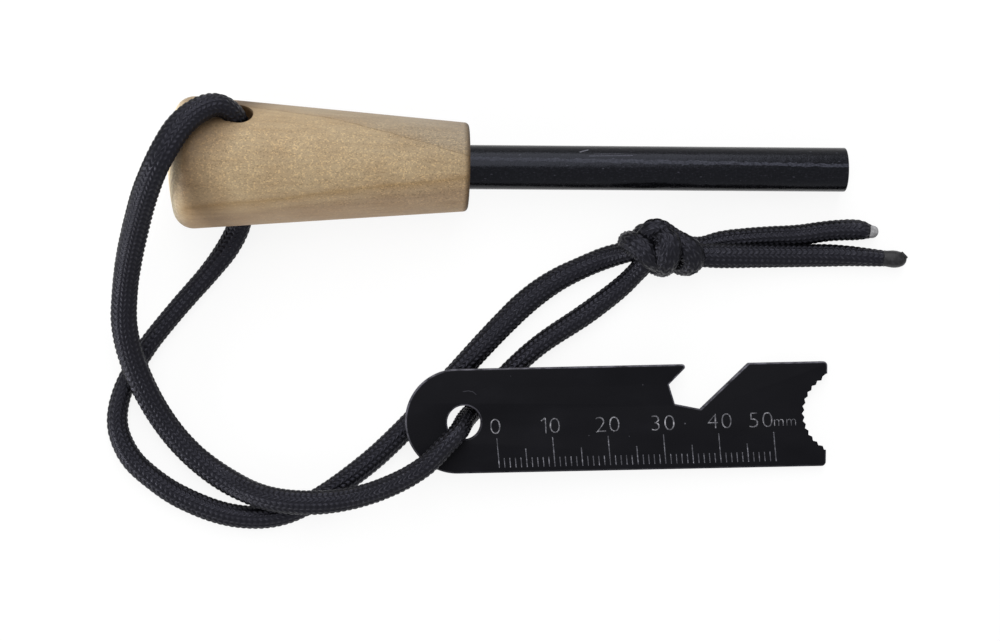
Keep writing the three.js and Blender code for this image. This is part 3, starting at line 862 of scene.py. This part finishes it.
def butt_shade_rim_light_and_end_grain(material, tone, xyz, aside, wander, fray):
    """By the butt: a dark crescent of painted shade, standing for the cord's shadow and the fillet
    turning away, a pale rim of painted rim light along the outline, and growth rings of end grain on the butt's
    face."""
    add = partial(add_node, material)
    # a crescent of painted shade, nearest to the butt a little below the handle's middle and faint in
    # the lower corner
    crescent_drop, crescent_bow, rim_light_bow = 1.5, 0.07, 0.0015
    below = sum_of(material, ((xyz, "Y"), 1), (crescent_drop, 1))
    below = add("Math", {0: below, 1: below}, operation="MULTIPLY")
    ring = sum_of(material, ((xyz, "X"), 1), (below, -crescent_bow), (wander, 1.5), (fray, 0.7), (0.2, 1))
    ring = add("MapRange", {"Value": ring, "From Min": 0.0, "From Max": 16.0})
    crescent_shade_tone = add("ValToRGB", {"Fac": ring}, stops=[
        (0.0, "#fffaf2"), (0.1, "#e2dad2"), (0.2, "#a89f99"), (0.31, "#9f9690"), (0.42, "#bdb6b1"),
        (0.58, "#e4e0dd"), (0.76, "#ffffff")])
    corner = add("MapRange", {"Value": (xyz, "Y"), "From Min": -10.5, "From Max": -4.0, "To Min": 0.45})
    tone = add("Mix", {"Factor": corner, 6: tone, 7: crescent_shade_tone}, **MULTIPLIED)
    # painted rim light, palest at the butt's outline: how far in from it, one for 4 mm
    rim_light = sum_of(material, ((xyz, "X"), 0.25), (aside, -rim_light_bow), (fray, 0.3))
    rim_light = add("ValToRGB", {"Fac": rim_light}, stops=[
        (0.25, 1.0), (0.38, 0.88), (0.48, 0.45), (0.58, 0.2), (0.78, 0.07), (0.93, 0.0)])
    tone = add("Mix", {"Factor": rim_light, 6: tone, 7: "#fff2d6"}, **LAID_OVER)
    # the butt's end grain: growth rings 1.7 mm apart about a pith outside the handle
    pith_y, pith_z, year_width = 19.0, -8.0, 1.7
    off_pith = add("CombineXYZ", {
        "X": sum_of(material, ((xyz, "Y"), 1), (-pith_y, 1)),
        "Y": sum_of(material, ((xyz, "Z"), 1), (-pith_z, 1))})
    off_pith = add("VectorMath", {0: off_pith}, operation="LENGTH")
    year = sum_of(material, (off_pith, 1 / year_width), (fray, 0.35), (wander, 0.8))
    year = add("Math", {0: year}, operation="FRACT")
    year = add("ValToRGB", {"Fac": year}, stops=[
        (0.0, "#ffffff"), (0.7, "#eadfce"), (0.9, "#bfa683"), (1.0, "#f4ece0")])
    end_face = add("MapRange", {"Value": (xyz, "X"), "From Min": 1.9, "From Max": 0.7, "To Max": 0.75})
    tone = add("Mix", {"Factor": end_face, 6: tone, 7: year}, **MULTIPLIED)
    return tone


def painted_shade_at_nose_and_cord_hole(material, tone, xyz):
    """Painted shade: darker on the nose's turned edge, where it turns away, and on the cord hole's wall."""
    add = partial(add_node, material)
    nose_edge = add("MapRange", {
        "Value": (xyz, "X"), "From Min": HANDLE_LENGTH - 1.1, "From Max": HANDLE_LENGTH - 0.2})
    tone = add("Mix", {"Factor": nose_edge, 6: tone, 7: "#90857b"}, **MULTIPLIED)
    off_x = sum_of(material, ((xyz, "X"), 1), (-CORD_HOLE_FROM_BUTT, 1))
    roll = math.radians(CORD_HOLE_ROLL)
    off_y = sum_of(material, ((xyz, "Y"), math.cos(roll)), ((xyz, "Z"), -math.sin(roll)))
    off = add("CombineXYZ", {"X": off_x, "Y": off_y})
    off = add("VectorMath", {0: off}, operation="LENGTH")
    bored = add("MapRange", {
        "Value": off, "From Min": CORD_HOLE_RADIUS + 0.25, "From Max": CORD_HOLE_RADIUS + 0.02})
    tone = add("Mix", {"Factor": bored, 6: tone, 7: "#9a8a7d"}, **MULTIPLIED)
    return tone


def maple():
    """Turned, sanded and oiled maple: sandy tan, with faint streaks and a cloudy figure, and a fine
    fleck and pores that give the eye a dry, open grain."""
    material = new_material("turned_oiled_maple")
    add = partial(add_node, material)
    place = local_mm(material, WOOD_PLACE)
    wander = pattern(material, "TexNoise", place, (20, 6.25, 6.25), Detail=3.0)
    fray = pattern(material, "TexNoise", place, (2, 0.5, 0.5), Detail=2.0)
    xyz = add("SeparateXYZ", {0: place})
    tone = growth_lines_and_lower_shade(material, xyz, wander, fray)
    # long growth streaks 0.8 mm wide and cloudy figure 6 mm across
    streaks = pattern(material, "TexNoise", place, (16.667, 0.8333, 0.8333), Detail=4.0, Roughness=0.6)
    streaks = add("ValToRGB", {"Fac": streaks}, stops=[
        (0.32, "#dcd3c8"), (0.5, "#fbf8f3"), (0.7, "#ffffff")])
    tone = add("Mix", {"Factor": 0.4, 6: tone, 7: streaks}, **MULTIPLIED)
    figure = pattern(material, "TexNoise", place, (7.143, 5, 5), Detail=2.0)
    figure = add("ValToRGB", {"Fac": figure}, stops=[(0.35, "#e3d8cd"), (0.6, "#ffffff")])
    tone = add("Mix", {"Factor": 0.3, 6: tone, 7: figure}, **MULTIPLIED)
    aside = add("Math", {0: (xyz, "Y"), 1: (xyz, "Y")}, operation="MULTIPLY")
    tone = butt_shade_rim_light_and_end_grain(material, tone, xyz, aside, wander, fray)
    # a sandy fleck of 0.2 mm, most of it along the middle of the upper and lower sides
    fleck = pattern(material, "TexVoronoi", place, (0.238095, 0.2, 0.2))
    fleck = add("SeparateColor", {0: (fleck, "Color")})
    flecks = add("ValToRGB", {"Fac": fleck}, stops=[
        (0.02, "#686664"), (0.28, "#9c9b9a"), (0.74, "#a4a3a0"), (0.98, "#dad4c6")])
    sandy = add("ValToRGB", {"Fac": sum_of(material, (aside, 0.01))}, stops=[(0.1, 0.52), (0.75, 0.22)])
    tone = add("Mix", {"Factor": sandy, 6: tone, 7: flecks}, **OVERLAID)
    # pores about 0.1 mm across and 0.4 mm long, one in each cell of the pattern
    pores = pattern(material, "TexVoronoi", place, (2.2222, 0.66667, 0.66667))
    pores = add("ValToRGB", {"Fac": pores}, stops=[(0.05, "#c9b8a2"), (0.12, "#ffffff")])
    tone = add("Mix", {"Factor": 0.55, 6: tone, 7: pores}, **MULTIPLIED)
    tone = painted_shade_at_nose_and_cord_hole(material, tone, xyz)
    bump = add("Bump", {"Strength": 0.35, "Distance": 0.06 * MM, "Height": fleck})
    rough = add("MapRange", {"Value": fleck, "To Min": 0.5, "To Max": 0.68})
    shader = add("BsdfPrincipled", {
        "Base Color": tone, "Roughness": rough, "IOR": 1.5, "Specular IOR Level": 0.2, "Normal": bump})
    return finish_material(material, shader)


def rod_coating():
    """Black lacquer dipped on ferrocerium: a satin skin with a fine sandy grain of the cast rod
    under it, a few pale nicks, three scratches, and a painted highlight: a pale speckled line where the lamp's
    reflection ends."""
    material = new_material("lacquered_ferrocerium")
    add = partial(add_node, material)
    place = local_mm(material, HANDLE_PLACE)
    xyz = add("SeparateXYZ", {0: place})
    # casting grain 0.3 mm across, a little coarser than the real one so that it shows
    grain = pattern(material, "TexNoise", place, (0.454545, 0.294118, 0.294118), Detail=3.0, Roughness=0.7)
    tone = add("ValToRGB", {"Fac": grain}, stops=[
        (0.3, "#060607"), (0.52, "#0b0b0d"), (0.66, "#18181c"), (0.78, "#3a3a42")])
    dents = pattern(material, "TexNoise", place, (1.42857, 0.90909, 0.90909), Detail=2.0)
    nicks = pattern(material, "TexVoronoi", place, (2.85714, 1.25, 1.25))
    nicks = add("ValToRGB", {"Fac": nicks}, stops=[(0.06, 1.0), (0.09, 0.0)])
    tone = add("Mix", {"Factor": nicks, 6: tone, 7: "#35353c"}, **LAID_OVER)
    # a painted highlight: a pale speckled line where the lamp's reflection ends, drifting down along the rod's
    # upper side and plainer towards the tip
    highlight_height, highlight_drift, highlight_width = 2.45, 0.0121, 0.6
    painted_highlight_line = sum_of(material, ((xyz, "Y"), 1), (dents, 0.9), ((xyz, "X"), highlight_drift),
                   (-highlight_height, 1))
    painted_highlight_line = add("Math", {0: painted_highlight_line, 1: 0.0, 2: highlight_width / 2}, operation="COMPARE")
    above = add("Math", {0: (xyz, "Z"), 1: 0.0}, operation="GREATER_THAN")
    painted_highlight_line = add("Math", {0: painted_highlight_line, 1: above}, operation="MULTIPLY")
    speckled = add("ValToRGB", {"Fac": grain}, stops=[(0.4, 0.3), (0.58, 1.0)])
    painted_highlight_line = add("Math", {0: painted_highlight_line, 1: speckled}, operation="MULTIPLY")
    farther = add("MapRange", {"Value": (xyz, "X"), "From Min": 60.0, "From Max": 112.0, "To Min": 0.4})
    painted_highlight_line = add("Math", {0: painted_highlight_line, 1: farther}, operation="MULTIPLY")
    tone = add("Mix", {"Factor": painted_highlight_line, 6: tone, 7: "#3c3d46"}, **LAID_OVER)
    # scratches: start, end, width and colour
    for start, end, width, colour in (((72.9, 2.64), (74.5, 3.08), 0.2, "#5a5a62"),
                                      ((74.5, 1.93), (82.3, 2.08), 0.13, "#3c3c44"),
                                      ((75.4, 2.32), (80.2, 2.4), 0.09, "#33333a")):
        line = scratch(material, xyz, start, end, width)
        tone = add("Mix", {"Factor": line, 6: tone, 7: colour}, **LAID_OVER)
    dented = add("Bump", {"Strength": 0.35, "Distance": 0.1 * MM, "Height": dents})
    bump = add("Bump", {"Strength": 0.45, "Distance": 0.05 * MM, "Height": grain, "Normal": dented})
    rough = add("MapRange", {
        "Value": grain, "From Min": 0.3, "From Max": 0.7, "To Min": 0.1, "To Max": 0.22})
    shader = add("BsdfPrincipled", {
        "Base Color": tone, "Roughness": rough, "IOR": 1.5, "Specular IOR Level": 0.13,
        "Specular Tint": "#e4e9ff", "Normal": bump})
    return finish_material(material, shader)


def blackened():
    """Hot-blackened mild steel: an even matt black face with a faint cloud, pale dust specks and a
    rub mark by the hole, and along the rolled edges a paler grey that is partly oxide worn thin and partly a
    painted highlight, strongest on the upper edges, which face the lamp."""
    material = new_material("blackened_mild_steel")
    add = partial(add_node, material)
    place = local_mm(material, PLATE_PLACE)
    xyz = add("SeparateXYZ", {0: place})
    cloud = pattern(material, "TexNoise", place, (10, 5, 5), Detail=5.0)
    tone = add("ValToRGB", {"Fac": cloud}, stops=[
        (0.3, "#0b0b0f"), (0.55, "#0e0e12"), (0.75, "#131317")])
    # a speck in most cells of 3.3 mm, the widest 0.3 mm across
    specks = pattern(material, "TexVoronoi", place, (3.33333, 3.33333, 3.33333))
    kept = add("SeparateColor", {0: (specks, "Color")})
    kept = add("MapRange", {
        "Value": kept, "From Min": 0.35, "From Max": 1.0, "To Min": 0.0, "To Max": 0.05})
    speck = add("Math", {0: specks, 1: kept}, operation="LESS_THAN")
    tone = add("Mix", {"Factor": speck, 6: tone, 7: "#4c4c52"}, **LAID_OVER)
    rub_mark = ((-0.1, 5.3), (0.9, 5.42), (1.7, 5.22), (2.3, 4.7))
    for start, end in zip(rub_mark, rub_mark[1:]):
        line = scratch(material, xyz, start, end, 0.12)
        tone = add("Mix", {"Factor": line, 6: tone, 7: "#36363c"}, **LAID_OVER)
    # worn oxide and painted highlight both show where the surface turns away from the plate's face
    facing = add("TexCoord")
    facing = add("VectorMath", {
        0: (facing, "Normal"), 1: tuple(PLATE_PLACE.to_3x3().col[2])}, operation="DOT_PRODUCT")
    facing = add("Math", {0: facing}, operation="ABSOLUTE")
    patchy = pattern(material, "TexNoise", place, (1.42857, 0.66667, 0.66667), Detail=3.0)
    worn_and_highlit_edge = add("ValToRGB", {"Fac": facing}, stops=[(0.0, 0.25), (0.45, 0.9), (0.9, 1.0), (0.985, 0.0)])
    rubbed = add("ValToRGB", {"Fac": patchy}, stops=[(0.3, 0.12), (0.65, 0.8)])
    worn_and_highlit_edge = add("Math", {0: worn_and_highlit_edge, 1: rubbed}, operation="MULTIPLY")
    # painted highlight: the edges grow paler towards the plate's upper side, which faces the lamp
    upward = add("MapRange", {"Value": (xyz, "Y"), "From Min": -7.0, "From Max": 8.0, "To Min": 0.25})
    worn_and_highlit_edge = add("Math", {0: worn_and_highlit_edge, 1: upward}, operation="MULTIPLY")
    tone = add("Mix", {"Factor": worn_and_highlit_edge, 6: tone, 7: "#777680"}, **LAID_OVER)
    bump = add("Bump", {"Strength": 0.15, "Distance": 0.03 * MM, "Height": patchy})
    rough = add("MapRange", {"Value": cloud, "To Min": 0.42, "To Max": 0.6})
    shader = add("BsdfPrincipled", {
        "Base Color": tone, "Roughness": rough, "IOR": 1.5, "Specular IOR Level": 0.05, "Normal": bump})
    return finish_material(material, shader)


def etched():
    """Laser-etched steel: bare grey strokes, patchy where the black was not burnt off whole, and the
    ticks a little darker than the figures."""
    material = new_material("laser_etched_steel")
    add = partial(add_node, material)
    place = local_mm(material, PLATE_PLACE)
    patchy = pattern(material, "TexNoise", place, (0.625, 0.625, 0.625), Detail=3.0, Roughness=0.7)
    tone = add("ValToRGB", {"Fac": patchy}, stops=[
        (0.3, "#2c2c31"), (0.5, "#5c5c62"), (0.7, "#aaaab0")])
    xyz = add("SeparateXYZ", {0: place})
    ticks_top = -2.9
    ticks = add("Math", {0: (xyz, "Y"), 1: ticks_top}, operation="LESS_THAN")
    tone = add("Mix", {"Factor": ticks, 6: tone, 7: "#cdcdd2"}, **MULTIPLIED)
    shader = add("BsdfPrincipled", {
        "Base Color": tone, "Roughness": 0.55, "IOR": 1.5, "Specular IOR Level": 0.3})
    return finish_material(material, shader)


def braided_nylon():
    """Braided black nylon sleeve: smooth filament bundles, each yarn a little lighter or darker than the
    next, with a painted glint on each stitch's crown and painted shade in the gaps, which stay black."""
    material = new_material("braided_black_nylon")
    add = partial(add_node, material)
    crown = add("Attribute", attribute_name="crown")
    yarn = add("Attribute", attribute_name="yarn")
    # colour by each stitch's height: painted shade in the gaps and a painted glint on the crown
    tone = add("ValToRGB", {"Fac": (crown, "Fac")}, stops=[
        (0.0, "#020203"), (0.5, "#070709"), (0.8, "#111114"), (1.0, "#3c3c41")])
    shade = add("ValToRGB", {"Fac": (yarn, "Fac")}, stops=[
        (0.0, "#8c8c90"), (0.7, "#e0e0e2"), (1.0, "#ffffff")])
    tone = add("Mix", {"Factor": 0.9, 6: tone, 7: shade}, **MULTIPLIED)
    coordinates = add("TexCoord")
    # filaments are 0.03 mm; the fuzz is drawn at 0.12 mm so that it shows
    fuzz = add("TexNoise", {
        "Vector": (coordinates, "Object"), "Scale": 1 / (0.12 * MM), "Detail": 2.0, "Roughness": 0.7})
    bump = add("Bump", {"Strength": 0.5, "Distance": 0.05 * MM, "Height": fuzz})
    rough = add("MapRange", {"Value": (yarn, "Fac"), "To Min": 0.5, "To Max": 0.3})
    shader = add("BsdfPrincipled", {
        "Base Color": tone, "Roughness": rough, "IOR": 1.53, "Specular IOR Level": 0.22,
        "Specular Tint": "#dcdcf6", "Normal": bump})
    return finish_material(material, shader)


def melted_nylon(name, dark, mid, pale, roughness):
    """Nylon melted with a flame: a smooth skin with slow lumps and small burnt and pale spots."""
    material = new_material(name)
    add = partial(add_node, material)
    coordinates = add("TexCoord")
    # spots 0.6 mm across
    spots = add("TexNoise", {
        "Vector": (coordinates, "Object"), "Scale": 1 / (0.6 * MM), "Detail": 4.0, "Roughness": 0.65})
    tone = add("ValToRGB", {"Fac": spots}, stops=[(0.3, dark), (0.5, mid), (0.7, pale)])
    bump = add("Bump", {"Strength": 0.6, "Distance": 0.1 * MM, "Height": spots})
    rough = add("MapRange", {"Value": spots, "To Min": roughness - 0.1, "To Max": roughness + 0.15})
    shader = add("BsdfPrincipled", {
        "Base Color": tone, "Roughness": rough, "IOR": 1.53, "Specular IOR Level": 0.2, "Normal": bump})
    return finish_material(material, shader)


def cured_epoxy():
    """Cured two-part epoxy round the rod's foot: clear amber gone cloudy with fine bubbles."""
    material = new_material("cured_amber_epoxy")
    add = partial(add_node, material)
    place = local_mm(material, HANDLE_PLACE)
    # clouds 2 mm across and bubbles of 0.4 mm
    cloud = pattern(material, "TexNoise", place, (2, 2, 2), Detail=4.0)
    tone = add("ValToRGB", {"Fac": cloud}, stops=[(0.3, "#a08a55"), (0.7, "#cdbc8c")])
    bubbles = pattern(material, "TexVoronoi", place, (0.4, 0.4, 0.4))
    bump = add("Bump", {"Strength": 0.4, "Distance": 0.1 * MM, "Height": bubbles})
    shader = add("BsdfPrincipled", {"Base Color": tone, "Roughness": 0.22, "IOR": 1.55, "Normal": bump})
    return finish_material(material, shader)


wood = maple()
coating = rod_coating()
steel = blackened()
etching = etched()
nylon = braided_nylon()
grey_nylon = melted_nylon("melted_grey_nylon", "#727274", "#8b8b8d", "#a6a6a8", 0.5)
black_nylon = melted_nylon("melted_black_nylon", "#0e0e10", "#18181b", "#2a2a2e", 0.4)
epoxy = cured_epoxy()


def dress(piece, material, body, slot, *nodes):
    """Gives a piece its material and body, and hides the CAD nodes that it replaces. Its slot is not used."""
    piece.data.materials.clear()
    piece.data.materials.append(material)
    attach(piece, body)
    if nodes:
        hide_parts(*nodes)


dress(over_butt, nylon, "handle_and_lanyard", "black_cord",
      "lanyard_loop", "lanyard_knot", "lanyard_tail_lower")
dress(under_plate, nylon, "handle_and_lanyard", "black_cord",
      "lanyard_loop", "lanyard_knot", "lanyard_tail_upper")
dress(handle, wood, "handle_and_lanyard", "turned_wood", "wooden_handle")
dress(rod, coating, "handle_and_lanyard", "coated_rod", "ferrocerium_rod")
dress(plate, steel, "striker", "black_steel", "striker_plate")
dress(ruler, etching, "striker", "black_steel")
dress(grey_end, grey_nylon, "handle_and_lanyard", "grey_melted_nylon", "melted_tip_upper")
dress(black_end, black_nylon, "handle_and_lanyard", "black_melted_nylon", "melted_tip_lower")
frame["nodes"]["adhesive_cup"].data.materials.clear()
frame["nodes"]["adhesive_cup"].data.materials.append(epoxy)


# Table, light and backdrop, their places and sizes in metres

TABLE_WIDTH = 8
TABLE_DROP = 0.00003      # the table's top lies this far below what rests on it
TABLE_PAINT = 0.9
TABLE_GLOW = 1.03
GLOW_SHARE = 0.85         # of what is seen of the table, so that its shadows stay faint
AMBIENT_LIGHT = 0.45


def seen_directly(material):
    """1 for what the camera sees itself, by reflection or through glass, and 0 for spread light."""
    light = add_node(material, "LightPath")
    seen = add_node(material, "Math", {0: (light, "Is Camera Ray"), 1: (light, "Is Glossy Ray")},
                    operation="ADD")
    return add_node(material, "Math", {0: seen, 1: (light, "Is Transmission Ray")},
                    operation="ADD", use_clamp=True)


def white_table():
    bpy.ops.object.select_all(action="DESELECT")
    bpy.ops.mesh.primitive_plane_add(size=TABLE_WIDTH, location=(0, 0, -TABLE_DROP))
    table = bpy.context.object
    table.name = "white_table"
    material = new_material("white_table")
    share = add_node(material, "Math", {0: seen_directly(material), 1: GLOW_SHARE}, operation="MULTIPLY")
    paint = add_node(material, "BsdfDiffuse", {"Color": (TABLE_PAINT, TABLE_PAINT, TABLE_PAINT, 1)})
    glow = add_node(material, "Emission", {"Color": "#ffffff", "Strength": TABLE_GLOW})
    both = add_node(material, "MixShader", {0: share, 1: paint, 2: glow})
    finish_material(material, both)
    table.data.materials.append(material)


def soft_box(name, place, size, watts):
    """A rectangular lamp that faces the object."""
    data = bpy.data.lights.new(name, "AREA")
    data.shape = "RECTANGLE"
    data.size, data.size_y = size
    data.energy = watts
    lamp = bpy.data.objects.new(name, data)
    lamp.location = place
    lamp.rotation_euler = (-Vector(place)).to_track_quat("-Z", "Y").to_euler()
    bpy.context.scene.collection.objects.link(lamp)


def studio_world():
    world = bpy.data.worlds.new("studio")
    world.use_nodes = True
    world.node_tree.nodes.clear()
    strength = add_node(world, "MapRange", {
        "Value": seen_directly(world), "To Min": AMBIENT_LIGHT, "To Max": 1.0})
    sky = add_node(world, "Background", {"Color": "#ffffff", "Strength": strength})
    add_node(world, "OutputWorld", {"Surface": sky})
    bpy.context.scene.world = world


white_table()
studio_world()
soft_box("key_from_behind", (0.05, 0.5, 0.56), (0.45, 1.15), 5.8)
soft_box("fill_from_left", (-0.7, -0.34, 0.2), (0.35, 0.3), 4.0)
bpy.context.scene.view_settings.view_transform = "Standard"
